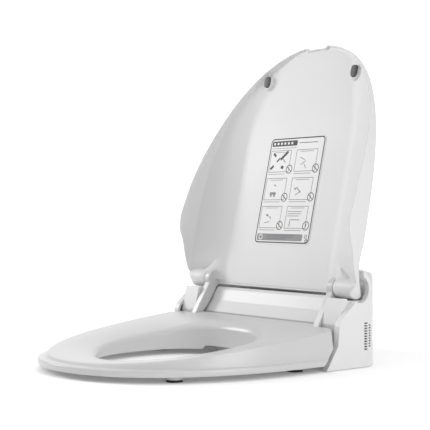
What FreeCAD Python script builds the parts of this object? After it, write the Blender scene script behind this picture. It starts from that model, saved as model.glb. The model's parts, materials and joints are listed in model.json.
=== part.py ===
import FreeCAD, Part
import math
import os
import re

import Sketcher
from FreeCAD import Placement, Rotation, Vector

# Electric bidet seat, millimetres. +X is the right-hand side seen from the front, -Y the front tip
# of the seat, +Z up. The origin is the centre of the two bowl bolts, on the bowl's deck.

doc = FreeCAD.newDocument("bidet_seat")
sheet = doc.addObject("Spreadsheet::Sheet", "dims")

DIMENSIONS = {
    # Hinge line shared by the seat ring and the lid
    "hinge_y": -43, "hinge_z": 111, "knuckle_rad": 14.5, "pin_rad": 4, "run_gap": 0.05,
    "arm_in": 137.5, "arm_out": 149, "boss_in": 149.6, "boss_out": 181.8,
    "lug_in": 157, "lug_out": 169, "lug_rad": 9,
    # Lid, in its own frame: x across, z along the lid from the hinge line, -y towards the sitter
    "lid_lean": 13, "lid_half": 199, "lid_wide_at": 75, "lid_tip": 388, "lid_foot": -7.5,
    "lid_wall": 2.5, "lid_crown": 22, "lid_drop": 36, "lid_blend": 62, "panel_depth": 6.1, "panel_thick": 2.2,
    "label_half": 64, "label_low": 62, "label_high": 236,
    "bumper_x": 100, "bumper_along": 334, "bumper_front": 3.2, "bumper_back": 6.8,
    # Seat ring
    "seat_half": 195, "seat_wide_y": -116, "seat_tip_y": -418.5, "rim_half": 196,
    "rim_wide_y": -130, "rim_tip_y": -427, "seat_under": 8, "seat_part": 11, "rim_top": 17,
    "seat_tip_z": 20.4, "seat_rise": 0.11, "seat_wall": 3, "seat_draw": 2.3, "seat_back_y": -67,
    "hole_half": 103, "hole_mid_y": -215, "hole_front": 130, "hole_rear": 101,
    "foot_rad": 13, "foot_z": 3.5,
    # Housing
    "case_half": 182.9, "side_half": 193.3, "case_rear_y": 62, "case_front_y": -62, "split_z": 30,
    "case_wall": 3, "corner_rad": 52, "corner_y": -40, "nose_half": 72, "nose_y": -95,
    "land_z": 98, "hump_z": 137,
    # Mounting plate under the housing
    "plate_half": 112, "plate_lip_half": 105.7, "plate_y": 32, "plate_z": 6, "bolt_x": 75,
    "slot_len": 30, "slot_rad": 5,
    # Nozzle wands and their rack drive
    "wand_slope": 22, "wand_x": 13, "wand_y": -88, "wand_z": 13, "wand_rad": 6, "wand_len": 150,
    "gear_module": 1, "gear_teeth": 14, "rack_pitch_z": 8.4, "pinion_at": 52,
    # Blower behind the side grille
    "fan_x": 148, "fan_y": -31, "fan_z": 44, "fan_rad": 25, "fan_wide": 26,
    # Water inlet and push buttons on the far side panel
    "inlet_y": -20, "inlet_z": 40, "inlet_rad": 10.475,
    "key_rad": 7, "key_y": -52, "key_z": 74,
}

for number, (alias, value) in enumerate(DIMENSIONS.items()):
    sheet.set("A%d" % (number + 1), str(value))
    sheet.setAlias("A%d" % (number + 1), alias)
doc.recompute()

ACROSS, ALONG, UP = Vector(1, 0, 0), Vector(0, 1, 0), Vector(0, 0, 1)
FAR = 600
finished = []


def formula(text):
    """The sheet expression for a number or for a sum written with the sheet's aliases."""
    return re.sub(r"\b(?!cos|sin)[a-z]\w*", lambda word: "dims." + word.group(), str(text))


def size(text):
    """The number that such a sum comes to now."""
    return float(sheet.evalExpression(formula(text)))


def bind(thing, prop, text):
    thing.setExpression(prop, formula(text))


# ---------------------------------------------------------------- document helpers

def box(name, low, high):
    """A box between two corners, each a triple of sums."""
    made = doc.addObject("Part::Box", name)
    for prop, axis, start, end in zip(("Length", "Width", "Height"), "xyz", low, high):
        bind(made, prop, "(%s)-(%s)" % (end, start))
        bind(made, "Placement.Base." + axis, start)
    return made


def rod(name, direction, start, radius, length):
    """A cylinder from the start point along +X, +Y or +Z."""
    made = doc.addObject("Part::Cylinder", name)
    turns = {"x": Rotation(ALONG, 90), "y": Rotation(ACROSS, -90), "z": Rotation()}
    made.Placement = Placement(Vector(), turns[direction])
    bind(made, "Radius", radius)
    bind(made, "Height", length)
    for axis, place in zip("xyz", start):
        bind(made, "Placement.Base." + axis, place)
    return made


def cut(name, base, *tools):
    made = doc.addObject("Part::Cut", name)
    made.Base = base
    made.Tool = tools[0] if len(tools) == 1 else fuse(name + "_tools", *tools)
    return made


def fuse(name, *pieces):
    made = doc.addObject("Part::MultiFuse", name)
    made.Shapes = list(pieces)
    return made


def common(name, *pieces):
    made = doc.addObject("Part::MultiCommon", name)
    made.Shapes = list(pieces)
    return made


def mirror(name, source):
    """The same piece on the other side of the middle plane."""
    made = doc.addObject("Part::Mirroring", name)
    made.Source = source
    made.Normal = ACROSS
    return made


def both(name, source):
    """One node that holds a piece and its mirror image as separate solids."""
    made = doc.addObject("Part::Compound", name)
    made.Links = [source, mirror(name + "_left", source)]
    return made


def feature(name, shape):
    made = doc.addObject("Part::Feature", name)
    made.Shape = shape
    return made


def profile(name, plane, start, thick, points):
    """A pad whose sketch is a polygon, every corner held to sums in the sheet."""
    body = doc.addObject("PartDesign::Body", name)
    sketch = body.newObject("Sketcher::SketchObject", name + "_sketch")
    role = next(o for o in body.Origin.OriginFeatures if o.Role == plane)
    sketch.AttachmentSupport = [(role, "")]
    sketch.MapMode = "FlatFace"
    sketch.setExpression("AttachmentOffset.Base.z", formula(start))
    corners = [Vector(size(a), size(b), 0) for a, b in points]
    for here, there in zip(corners, corners[1:] + corners[:1]):
        sketch.addGeometry(Part.LineSegment(here, there), False)
    for index, (corner, sums) in enumerate(zip(corners, points)):
        after = (index + 1) % len(points)
        sketch.addConstraint(Sketcher.Constraint("Coincident", index, 2, after, 1))
        for kind, value, text in zip(("DistanceX", "DistanceY"), corner, sums):
            held = sketch.addConstraint(Sketcher.Constraint(kind, -1, 1, index, 1, value))
            sketch.setExpression("Constraints[%d]" % held, formula(text))
    pad = body.newObject("PartDesign::Pad", name + "_pad")
    pad.Profile = sketch
    bind(pad, "Length", thick)
    return body


def side_profile(name, low_x, high_x, points):
    """A pad across X whose corners are (y, z)."""
    return profile(name, "YZ_Plane", low_x, "(%s)-(%s)" % (high_x, low_x), points)


def plan_profile(name, low_z, high_z, points):
    """A pad up Z whose corners are (x, y)."""
    return profile(name, "XY_Plane", low_z, "(%s)-(%s)" % (high_z, low_z), points)


def finish(node, thing):
    """Names a finished sub-part; the name is also its file's."""
    thing.Label = node
    finished.append(thing)
    return thing


def smooth(points):
    curve = Part.BSplineCurve()
    curve.interpolate(points)
    return curve.toShape()


def chain(points):
    return [Part.makeLine(a, b) for a, b in zip(points, points[1:]) if (a - b).Length > 1e-6]


def bulge(half, far, near, power, fullness, steps=9):
    """A rounded end: (width, distance) from the widest place to the tip and back, by formula."""
    one_side = []
    for step in range(steps + 1):
        turn = math.radians(90 * step / steps)
        place = near + (far - near) * math.sin(turn) ** (2 / power)
        one_side.append((half * max(math.cos(turn), 0) ** (2 / fullness), place))
    return one_side + [(-width, place) for width, place in reversed(one_side[:-1])]


# ---------------------------------------------------------------- outlines by formula

def seat_face(half, wide_y, tip_y, inset, level, rear_inset=None):
    """Plan of the ring's outside, squared off at the rear where it meets the housing."""
    half, tip_y = size(half) - inset, size(tip_y) + inset
    rear_inset = inset if rear_inset is None else rear_inset
    wide_y, back_y = size(wide_y), size("seat_back_y") - rear_inset
    arm, shoulder = size("arm_out") + 0.1 - rear_inset, size("arm_out") + 31.4 - rear_inset
    front = smooth([Vector(x, y, level) for x, y in bulge(half, tip_y, wide_y, 2.5, 2.1)])
    side = [(half, wide_y), (half, -91 - rear_inset), (shoulder + 1.5, -91 - rear_inset),
            (shoulder, -81 - rear_inset), (arm, -81 - rear_inset), (arm, back_y)]
    rear = [(-x, y) for x, y in side] + list(reversed(side))
    return Part.Face(Part.Wire([front] + chain([Vector(x, y, level) for x, y in rear])))


def hole_face(grow, level):
    """Plan of the ring's opening: an egg, fuller towards the housing."""
    half, middle = size("hole_half") + grow, size("hole_mid_y")
    front = bulge(half, middle - size("hole_front") - grow, middle, 2.1, 2.1, 7)
    rear = bulge(-half, middle + size("hole_rear") + grow, middle, 2.6, 2.6, 7)
    loop = [smooth([Vector(x, y, level) for x, y in run]) for run in (front, rear)]
    return Part.Face(Part.Wire(loop))


def lid_face(inset):
    """Outline of the lid seen along y, in the lid's own frame."""
    half, tip, foot = size("lid_half") - inset, size("lid_tip") - inset, size("lid_foot") + inset
    wide = size("lid_wide_at")
    front = smooth([Vector(x, -FAR / 2, z) for x, z in bulge(half, tip, wide, 2.5, 2.1)])
    corner = [(-half, wide), (-half + 2.5, foot + 20), (-half + 8, foot + 4.5),
              (-half + 19, foot)]
    left = [Vector(x, -FAR / 2, z) for x, z in corner]
    right = [Vector(-p.x, p.y, p.z) for p in reversed(left)]
    arc_left = Part.Arc(left[1], left[2], left[3]).toShape()
    arc_right = Part.Arc(right[0], right[1], right[2]).toShape()
    edges = [front, Part.makeLine(left[0], left[1]), arc_left, Part.makeLine(left[3], right[0]),
             arc_right, Part.makeLine(right[2], right[3])]
    return Part.Face(Part.Wire(edges))


def lid_prism(inset):
    return lid_face(inset).extrude(Vector(0, FAR, 0))


def lid_depth_solid(thick):
    """Everything in front of the lid's crowned back, moved forward by a thickness.

    The back falls away to both sides, less so down at the hinge."""
    half, foot = size("lid_half"), size("lid_foot")
    sections = []
    for along in (-60, foot, 8, 24, 42, 56, 450):
        near_foot = max(0, 1 - max(along - foot, 0) / size("lid_blend"))
        drop = size("lid_drop") * (1 - 0.83 * near_foot ** 1.8)
        xs = [half * 1.05 * k / 4 for k in range(-4, 5)]
        back = smooth([Vector(x, size("lid_crown") - thick - drop * (x / half) ** 2, along)
                       for x in xs])
        ends = [back.Vertexes[-1].Point, Vector(xs[-1], -FAR, along), Vector(xs[0], -FAR, along),
                back.Vertexes[0].Point]
        sections.append(Part.Wire([back] + chain(ends)))
    return Part.makeLoft(sections, True, True)


def lid_rim_solid(lower):
    """Everything behind the lid's rim line, which bulges forward at both sides near the hinge."""
    rim = [(-20, -6), (-8, 3), (9.5, 18), (29.5, 25.9), (54.5, 35.5), (72, 45.5), (86.5, 49.5),
           (102, 48.4), (119.5, 45.9), (154.5, 41), (271, 14.8), (388, -11.4), (400, -14)]
    line = smooth([Vector(-FAR / 2, lower - depth, along) for along, depth in rim])
    ends = [line.Vertexes[-1].Point, Vector(-FAR / 2, FAR, 400), Vector(-FAR / 2, FAR, -20),
            line.Vertexes[0].Point]
    return Part.Face(Part.Wire([line] + chain(ends))).extrude(Vector(FAR, 0, 0))


def turned(name, origin, angle, *pieces):
    """Pieces modelled in a tilted frame of their own, set in place about the X axis."""
    made = doc.addObject("Part::Compound", name)
    made.Links = list(pieces)
    made.Placement = Placement(Vector(), Rotation(ACROSS, 1))
    bind(made, "Placement.Rotation.Angle", angle)
    for axis, place in zip("xyz", origin):
        bind(made, "Placement.Base." + axis, place)
    return made


def in_lid(name, *pieces):
    """Stands pieces modelled in the lid's own frame in their open place."""
    return turned(name, (0, "hinge_y", "hinge_z"), "0-lid_lean", *pieces)


def in_wand(name, across, *pieces):
    """Lays pieces modelled in a wand's own frame on its slope; y runs back from its tip."""
    return turned(name, (across, "wand_y", "wand_z"), "wand_slope", *pieces)


def hinge_rod(name, low_x, high_x, radius, placed=True):
    """A cylinder on the hinge line, in the row's frame or in the lid's."""
    start = (low_x, "hinge_y", "hinge_z") if placed else (low_x, 0, 0)
    return rod(name, "x", start, radius, "(%s)-(%s)" % (high_x, low_x))


# ---------------------------------------------------------------- lid

def make_lid():
    shell = lid_prism(0).common(lid_depth_solid(0)).common(lid_rim_solid(0))
    shell = shell.cut(lid_prism(size("lid_wall")).common(lid_depth_solid(size("lid_wall"))))
    boss = fuse("boss", hinge_rod("boss_right", "boss_in", "boss_out", "knuckle_rad", False),
                hinge_rod("boss_left", "0-boss_out", "0-boss_in", "knuckle_rad", False))
    rooms = [hinge_rod("damper_room", "lug_out+1.4", "boss_out-1.2", "8.5", False)]
    for side, sign in (("r", 1), ("l", -1)):
        near, far = sorted((sign * (size("lug_in") - 0.4), sign * (size("lug_out") + 0.4)))
        rooms.append(hinge_rod("lug_room_" + side, near, far, "lug_rad+1.2", False))
        rooms.append(side_profile("lug_sweep_" + side, near, far, [
            (-20, -6), (-3, -1), (2, 4), (11, 19), (24, 19), (24, -22), (-20, -22)]))
        near, far = sorted((sign * (size("arm_in") - 0.6), sign * size("boss_in")))
        rooms.append(hinge_rod("arm_room_" + side, near, far, "knuckle_rad+0.8", False))
        near, far = sorted((sign * 130, sign * 186))
        rooms.append(hinge_rod("lid_bore_" + side, near, far, "pin_rad+run_gap", False))
    lid = fuse("lid_with_boss", cut("lid_shell_cut", feature("lid_shell_raw", shell), *rooms),
               cut("boss_cut", boss, *rooms))
    finish("lid_outer", in_lid("lid_outer_open", lid))

    tray = side_profile("tray_out", -FAR / 2, FAR / 2, [
        ("-200", "lid_foot+lid_wall+0.1"), ("panel_depth+panel_thick", "lid_foot+lid_wall+0.1"),
        ("panel_depth+panel_thick", 240), ("panel_depth+panel_thick+8", 372),
        ("panel_depth+panel_thick+8", 395), ("-200", 395)])
    tray_room = side_profile("tray_in", -FAR / 2, FAR / 2, [
        ("-200", -60), ("panel_depth", -60), ("panel_depth", 240), ("panel_depth+8", 372),
        ("panel_depth+8", 400), ("-200", 400)])
    flank = plan_profile("flank_out", -60, 450, flank_points("panel_thick"))
    flank_room = plan_profile("flank_in", -70, 460, flank_points("0"))
    inside = lid_prism(size("lid_wall") + 0.1).common(lid_depth_solid(size("lid_wall") + 0.1))
    inside = feature("lid_inside", inside.common(lid_rim_solid(1.5)))
    corner = fuse("tray_corner", box("tray_notch", ("arm_in-0.6", -40, -20), (210, 40, 18)),
                  box("tray_notch_high", ("arm_out+0.6", -40, -20), (210, 40, 36)))
    deep = feature("tray_depth", lid_depth_solid(size("lid_wall+0.1+panel_thick")))
    panel = cut("tray_shell", common("tray_block", inside, tray, flank),
                common("tray_hollow", tray_room, flank_room, deep),
                corner, mirror("tray_corner_left", corner))
    rib = box("rib", ("bumper_x-4", "bumper_back", "bumper_along-16"), ("bumper_x+4", 9.2, "bumper_along+16"))
    ribs = mirror("rib_left", rib)
    finish("lid_inner", in_lid("lid_inner_open", fuse("tray_with_ribs", panel, rib, ribs)))

    label = box("label_plate", ("0-label_half", "panel_depth-0.5", "label_low"),
                ("label_half", "panel_depth", "label_high"))
    finish("lid_label", in_lid("lid_label_open", label))
    pad = doc.addObject("Part::Fillet", "bumper_right")
    pad.Base = box("bumper_block", ("bumper_x-6", "bumper_front", "bumper_along-9.5"),
                   ("bumper_x+6", "bumper_back", "bumper_along+9.5"))
    doc.recompute()
    upright = [n + 1 for n, edge in enumerate(pad.Base.Shape.Edges)
               if abs(edge.tangentAt(0).y) > 0.9 or edge.BoundBox.YMax < size("bumper_front") + 0.1]
    pad.Edges = [(n, 2.4, 2.4) for n in upright]
    finish("lid_bumpers", in_lid("lid_bumpers_open", pad, mirror("bumper_left", pad)))
    damper = cut("lid_damper_barrel",
                 hinge_rod("lid_damper_rod", "lug_out+1.4", "boss_out-1.2", "8.5", False),
                 hinge_rod("lid_damper_bore", "lug_out", "boss_out", "pin_rad+run_gap", False))
    finish("lid_damper", in_lid("lid_damper_open", damper))


def flank_points(thick):
    """Cross-section of the lid's inner tray: a flat middle and two rising flanks."""
    edge = "panel_depth+(%s)" % thick
    return [(-200, -200), (-200, edge + "-24"), (-89.5, edge + "+10"), (89.5, edge + "+10"),
            (200, edge + "-24"), (200, -200)]


# ---------------------------------------------------------------- seat ring

def slope_solid(name, lower):
    """Everything under the ring's sloping top, moved down by a thickness."""
    top = "seat_tip_z+seat_rise*(%s-seat_tip_y)-(%s)"
    return side_profile(name, -FAR / 2, FAR / 2, [
        (-450, -10), (-450, top % (-450, lower)), (-30, top % (-30, lower)), (-30, -10)])


def make_seat():
    low, high = size("seat_part"), 80
    draw = size("seat_draw")
    upper = seat_face("seat_half", "seat_wide_y", "seat_tip_y", draw, low, 0)
    upper = upper.extrude(UP * (high - low))
    skirt = seat_face("seat_half", "seat_wide_y", "seat_tip_y", 0, low)
    skirt = skirt.extrude(UP * (size("rim_top") + 1.5 - low))
    rim = seat_face("rim_half", "rim_wide_y", "rim_tip_y", 0, low)
    rim = rim.extrude(UP * (size("rim_top") - low))
    hollow = seat_face("seat_half", "seat_wide_y", "seat_tip_y", size("seat_wall") + draw, low - 5)
    hollow = hollow.extrude(UP * (high - low + 5))
    hole = feature("seat_hole", hole_face(0, -10).extrude(UP * 100))
    hole_wall = feature("seat_hole_wall", hole_face(size("seat_wall"), -10).extrude(UP * 100))
    arm_points = [("hinge_y-knuckle_rad+0.6", "hinge_z-4"), (-84, 56), (-84, 44),
                  ("seat_back_y", 44), ("seat_back_y", 61), (-53, 77), ("hinge_y+2.5", 97.2),
                  ("hinge_y+knuckle_rad-1.5", "hinge_z-6"), ("hinge_y", "hinge_z+2")]
    blades = []
    for side, low_x, high_x in (("r", "arm_in", "arm_out"), ("l", "0-arm_out", "0-arm_in")):
        blades.append(side_profile("arm_blade_" + side, low_x, high_x, arm_points))
        blades.append(hinge_rod("arm_head_" + side, low_x, high_x, "knuckle_rad"))
    body = fuse("seat_body", common("seat_upper", feature("seat_prism", upper),
                                    slope_solid("seat_slope", "0")),
                feature("seat_skirt", skirt), feature("seat_rim", rim), *blades)
    under_nose = box("nose_room", ("0-nose_half-12", -124, -5), ("nose_half+12", -40, 38))
    nose_ring = box("nose_block", ("0-nose_half-15", -127, -5), ("nose_half+15", -40, 90))
    cavity = cut("seat_cavity", common("seat_cavity_raw", feature("seat_hollow", hollow),
                                       slope_solid("seat_slope_in", "seat_wall")),
                 hole_wall, nose_ring)
    heel = both("seat_heel", side_profile("heel_r", 180, 205, [
        (-89, 36), (-120, 5), (-60, 5), (-60, 36)]))
    bores = [hinge_rod("arm_bore_r", 130, 152, "6.5"), hinge_rod("arm_bore_l", -152, -130, "8.5")]
    finish("seat_top", cut("seat_top_cut", body, hole, cavity, under_nose, heel, *bores))

    plate = seat_face("rim_half", "rim_wide_y", "rim_tip_y", 0, size("seat_under"))
    plate = feature("seat_plate", plate.extrude(UP * (low - size("seat_under"))))
    finish("seat_bottom", cut("seat_bottom_cut", plate, hole, under_nose, heel))

    foil = seat_face("seat_half", "seat_wide_y", "seat_tip_y", 14, low).extrude(UP * (high - low))
    band = cut("heater_band", slope_solid("heater_top", "seat_wall+0.1"),
               slope_solid("heater_low", "seat_wall+0.7"))
    ring_gap = feature("heater_hole", hole_face(12, -10).extrude(UP * 100))
    finish("seat_heater", cut("seat_heater_cut", common("heater_ring", feature("foil", foil), band),
                              ring_gap, nose_ring, box("foil_end", (-FAR, -104, 0), (FAR, 0, 90))))

    bush = cut("arm_bush", hinge_rod("bush_rod", "arm_in", "arm_out", "6.5"),
               hinge_rod("bush_bore", 130, 152, "pin_rad+run_gap"))
    finish("seat_bush", bush)
    damper = cut("arm_damper", hinge_rod("damper_rod", "0-arm_out", "0-arm_in", "8.5"),
                 hinge_rod("damper_bore", -152, -130, "pin_rad+run_gap"))
    finish("seat_damper", damper)

    pads, rubbers = [], []
    for x, y in ((132, -326), (-132, -326), (160, -139), (-160, -139)):
        pads.append(rod("foot_pad", "z", (x, y, "foot_z"), "foot_rad", "seat_under-foot_z"))
        rubbers.append(rod("foot_rubber", "z", (x, y, 0), "foot_rad-2", "foot_z"))
    for node, solids in (("seat_foot_pads", pads), ("seat_foot_rubbers", rubbers)):
        group = doc.addObject("Part::Compound", node + "_group")
        group.Links = solids
        finish(node, group)


# ---------------------------------------------------------------- housing

def plan_solid(name, half, inset, low_z, high_z):
    """Plan of the housing: straight sides, round rear corners and a tapering back."""
    side, rad = size("side_half") - inset, size("corner_rad") - inset
    centre = Vector(size("side_half") - size("corner_rad"), size("corner_y"), low_z)
    rear = size("case_rear_y") - inset
    turns = [math.radians(angle) for angle in (0, 26, 51.5)]
    arc = [centre + Vector(rad * math.cos(a), rad * math.sin(a), 0) for a in turns]
    taper = [arc[2], Vector(112 - inset * 0.6, rear - 8, low_z), Vector(98 - inset * 0.4, rear, low_z)]
    front = Vector(side, -130, low_z)
    right = [Part.makeLine(front, arc[0]), Part.Arc(arc[0], arc[1], arc[2]).toShape()] + chain(taper)
    swap = FreeCAD.Matrix(-1, 0, 0, 0, 0, 1, 0, 0, 0, 0, 1, 0, 0, 0, 0, 1)
    left = [edge.transformGeometry(swap) for edge in right]
    ends = [Part.makeLine(Vector(-taper[2].x, rear, low_z), taper[2]),
            Part.makeLine(Vector(-side, -130, low_z), front)]
    wire = Part.Wire(Part.__sortEdges__(right + left + ends))
    solid = Part.Face(wire).extrude(UP * (high_z - low_z))
    trim = Part.makeBox(2 * half, FAR, FAR, Vector(-half, -FAR / 2, -FAR / 2))
    return feature(name, solid.common(trim))


def cover_points(wall):
    """Side view of the upper cover, (y, z), moved in by a wall thickness."""
    outer = [("case_front_y", "split_z+0.3"), ("case_front_y", 60), (-50, 77), (-41.5, 94),
             (-38, "land_z"), (-20, "land_z"), (-18.5, "land_z+1.5"), (-11, "hump_z-3"),
             (-6, "hump_z"), (-2, "hump_z-0.5"), ("case_rear_y-2", 108), ("case_rear_y", 105),
             ("case_rear_y", "split_z+0.3")]
    inward = [(1, -1), (1, 0.4), (0.85, 0.5), (0.8, -0.4), (0.5, -1), (0.6, -1), (0.95, -0.6),
              (0.9, -1), (0, -1.2), (0, -1.1), (-0.8, -0.8), (-1, -0.5), (-1, -1)]
    if wall == "0":
        return outer
    return [("%s+(%s)*(%s)" % (y, wall, dy), "%s+(%s)*(%s)" % (z, wall, dz))
            for (y, z), (dy, dz) in zip(outer, inward)]


def shoulder(name, inset):
    """What is pared off above the housing's rounded shoulders, both sides, moved in by inset."""
    outline = [(148, 138), (160, 133.5), (173, 125), (184, 114), (210, 114), (210, 170), (148, 170)]
    drop = 1.2 * inset
    points = [Vector(x - 0.7 * inset, -60, z - drop) for x, z in outline]
    return both(name, feature(name + "_r", Part.Face(Part.makePolygon(points + points[:1]))
                              .extrude(Vector(0, 140, 0))))


def make_cover(wand_ways):
    half = size("case_half")
    block = common("cover_block", side_profile("cover_out", "0-case_half", "case_half",
                                               cover_points("0")),
                   plan_solid("cover_plan", half, 0, 0, 160))
    hollow = common("cover_hollow", side_profile("cover_in", "0-case_half", "case_half",
                                                 cover_points("case_wall")),
                    plan_solid("cover_plan_in", half - 3, 3, 0, 160))
    shell = cut("cover_shell", cut("cover_shouldered", block, shoulder("shoulder_out", 0)),
                cut("cover_room", hollow, shoulder("shoulder_in", size("case_wall"))))
    slots, blocks, rooms, lugs = [], [], [], []
    for side, sign in (("r", 1), ("l", -1)):
        def span(near, far):
            return sorted((sign * size(near), sign * size(far)))
        slots.append(side_profile("arm_slot_" + side, *span("arm_in-0.8", "arm_out+0.7"), [
            (-90, 50), (-65.9, 50), (-65.9, 60.6), (-52, 76.4), (-39, 95.6), (-34, 97.5),
            (-28, 103), (-26.5, "hinge_z"), (-26.5, 150), (-90, 150)]))
        slots.append(box("boss_pocket_" + side,
                         *zip(span("arm_out+0.7", "case_half+10"), (-61, -20), (94.6, 104))))
        blocks.append(side_profile("block_" + side, *span("arm_out+0.7", "case_half"), [
            (-77, "split_z+0.3"), (-77, 62), (-68, "land_z"), (-61, "land_z"), (-58, 94.6),
            (-18, 94.6), (-18, 91.4), (-42, 91.4), (-49, 77), (-61, 60), (-61, "split_z+0.3")]))
        rooms.append(side_profile("block_in_" + side, *span("arm_out+3.7", "case_half-3"), [
            (-74, "split_z-1"), (-74, 62), (-66, "land_z-3"), (-60.5, "land_z-3"),
            (-57.5, 91.5), (-20, 91.5), (-20, "split_z-1")]))
        low, high = span("lug_in", "lug_out")
        lugs.append(side_profile("lug_neck_" + side, low, high, [
            ("hinge_y", "hinge_z-7"), (-12, "hinge_z-7"), (-12, "hinge_z+7"),
            ("hinge_y", "hinge_z+7")]))
        lugs.append(hinge_rod("lug_head_" + side, low, high, "lug_rad"))
    pin_bore = [hinge_rod("lug_bore_r", 150, 176, "pin_rad"),
                hinge_rod("lug_bore_l", -176, -150, "pin_rad")]
    slotted = fuse("cover_blocks", cut("cover_slotted", shell, *slots), *blocks)
    window = box("window_hole", (-16, 4, 120), (16, 16, 150))
    inlet = rod("cover_inlet_hole", "x", (-186, "inlet_y", "inlet_z"), 13, 10)
    intake = rod("air_intake", "x", (176, "fan_y", "fan_z+8"), 13, 10)
    solid = fuse("cover_lugs", cut("cover_open", slotted, *rooms), *lugs)
    finish("upper_cover", cut("cover_cut", solid, window, inlet, intake, *(pin_bore + wand_ways)))

    lens = common("lens_block", side_profile("lens_band", -15.7, 15.7, [
        (4.3, 129.3), (4.3, 133.4), (15.7, 128.3), (15.7, 124.2)]))
    finish("receiver_window", lens)


# Side view of a side panel, (y, z), with the notch that clears the lid's hinge corner, and its room
SIDE_EDGE = [
    (-110, 0.6), (-88, 33), (-85, 61), (-82.5, 68), (-53, 94), (-48, 92.3), (-43, 91.5),
    (-38, 92.5), (-31, 96.3), (-25.8, 103.2), (-24.2, 111), (-26, 119.2), (-31.6, 125.2),
    (-36, 127.5), (-37, 130), (-38, "hump_z"), (-34, "hump_z-0.5"), (-13.5, 115.5),
    (-12, 113), (-12, 0.6)]
SIDE_ROOM = [
    (-103, 3.6), (-84, 33), (-81, 60), (-79.5, 65), (-51, 90), (-47, 88.3), (-42, 87.5),
    (-36, 89), (-27.5, 93.3), (-21.8, 101.5), (-20.2, 108), (-17, 108), (-17, 3.6)]


def make_side(node, mirrored, openings):
    """A side panel: a hollow shell that wraps the housing's side."""
    name = "side_l" if mirrored else "side_r"
    plate = common(name + "_plate", side_profile(name + "_out", "case_half+0.3", "side_half",
                                                 SIDE_EDGE),
                   plan_solid(name + "_plan", 200, 0, 0, 160))
    room = common(name + "_room", side_profile(name + "_in", "case_half+0.2", "side_half",
                                               SIDE_ROOM),
                  plan_solid(name + "_plan_in", 200, 3, -5, 160))
    made = cut(name + "_cut", plate, room, *openings)
    finish(node, mirror(name + "_mirror", made) if mirrored else made)


def make_sides():
    slots = []
    for row in range(11):
        for column, (start, end) in enumerate(((-36, -28.5), (-25, -19))):
            if column == 0 or 0 < row < 10:
                place = 24.6 + 3.7 * row
                slots.append(box("vent_%d_%d" % (row, column), (178, start, place),
                                 (200, end, place + 2.1)))
    make_side("side_panel_right", False, slots)
    keys = [rod("key_hole_%d" % n, "x", (180, "key_y", place), "key_rad+0.3", 30)
            for n, place in enumerate(("key_z", "key_z-20"))]
    release = box("release_hole", (180, -72.3, 17.7), (220, -49.7, 30.3))
    inlet = rod("inlet_hole", "x", (170, "inlet_y", "inlet_z"), 13, 40)
    make_side("side_panel_left", True, keys + [release, inlet])


def wand_passages():
    """Room for the wands and their racks through every wall they slide past."""
    made = []
    for n, across in enumerate(("wand_x", "0-wand_x")):
        tube = rod("passage_%d" % n, "y", (0, -30, 0), "wand_rad+1.2", 90)
        rack = box("rack_passage_%d" % n, (-2.6, -30, 0), (2.6, 60, "rack_pitch_z+1.4"))
        made.append(in_wand("wand_passage_%d" % n, across, tube, rack))
    return made


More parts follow.
